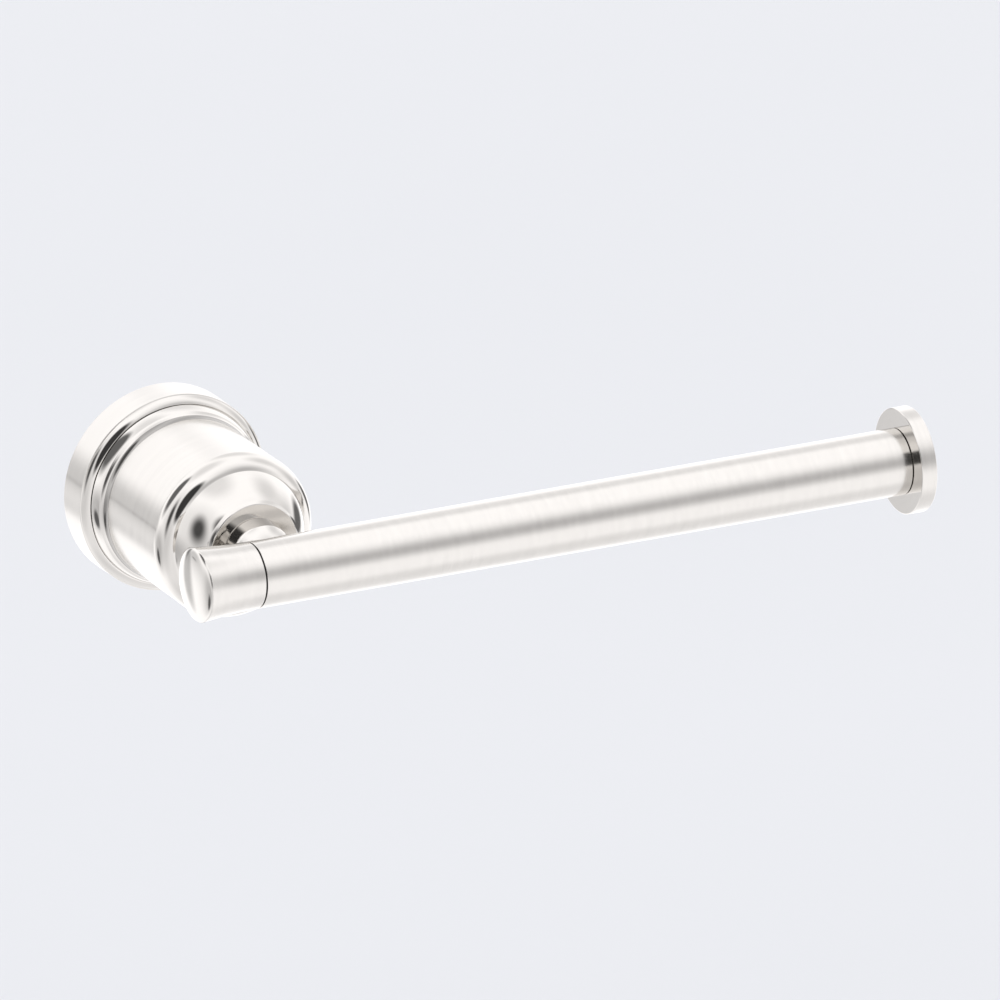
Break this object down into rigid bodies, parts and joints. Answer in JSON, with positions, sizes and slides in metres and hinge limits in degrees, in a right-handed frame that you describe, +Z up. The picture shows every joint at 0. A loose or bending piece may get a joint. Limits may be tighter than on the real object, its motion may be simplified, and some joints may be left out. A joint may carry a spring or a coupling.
{
  "type": "toilet paper holder",
  "caption": "Wall-mounted toilet paper holder: turned, stepped round post with a bell-shaped front, carrying an open-ended round bar with a flared end knob and a stop disc.",
  "frame": {"origin": "centre of the wall bracket's back face, on the wall plane Y = 0 and on the post's axis", "axes": "+X along the bar towards its free end with the stop disc, +Y into the wall so that the holder stands out along -Y, +Z up"},
  "size_m": [0.1904, 0.0791, 0.0488],
  "materials": {
    "brushed_nickel": "brushed nickel plate on turned brass, grain running round each turned piece",
    "zinc_steel": "bright zinc-plated steel",
    "blackened_steel": "black oxide steel",
    "plain_brass": "turned brass, unplated",
    "black_nylon": "black nylon washer"
  },
  "bodies": {
    "wall_side": {"wall_bracket": "zinc_steel", "wall_screw_left": "zinc_steel", "wall_screw_right": "zinc_steel"},
    "post": {"flange_cover": "brushed_nickel", "post_barrel": "brushed_nickel", "front_cap": "brushed_nickel", "tie_bolt": "zinc_steel", "spring_washer": "zinc_steel", "flat_washer": "zinc_steel"},
    "set_screw": {"set_screw": "blackened_steel"},
    "arm": {"neck": "brushed_nickel", "bar_tube": "brushed_nickel", "cross_block": "plain_brass", "lock_screw": "blackened_steel", "end_plug": "plain_brass", "end_disc": "brushed_nickel"},
    "knob_washer": {"knob_washer": "black_nylon"},
    "knob": {"end_knob": "brushed_nickel"}
  },
  "joints": [
    {"name": "lift_off", "type": "slide", "parent": "wall_side", "child": "post", "axis": [0, -1, 0], "range_m": [0, 0.02]},
    {"name": "set_screw_travel", "type": "slide", "parent": "post", "child": "set_screw", "axis": [0, 0, -1], "range_m": [0, 0.0025]},
    {"name": "arm_turn", "type": "hinge", "parent": "post", "child": "arm", "pos_m": [0, -0.0518, 0], "axis": [0, -1, 0], "continuous": true},
    {"name": "knob_travel", "type": "slide", "parent": "arm", "child": "knob_washer", "axis": [-1, 0, 0], "range_m": [0, 0.0061]},
    {"name": "knob_turn", "type": "hinge", "parent": "knob_washer", "child": "knob", "pos_m": [-0.0155, -0.0664, 0], "axis": [-1, 0, 0], "range_deg": [0, 2160]}
  ],
  "couplings": [
    {"joint": "knob_travel", "follows": "knob_turn", "m_per_rad": 0.00015915}
  ]
}
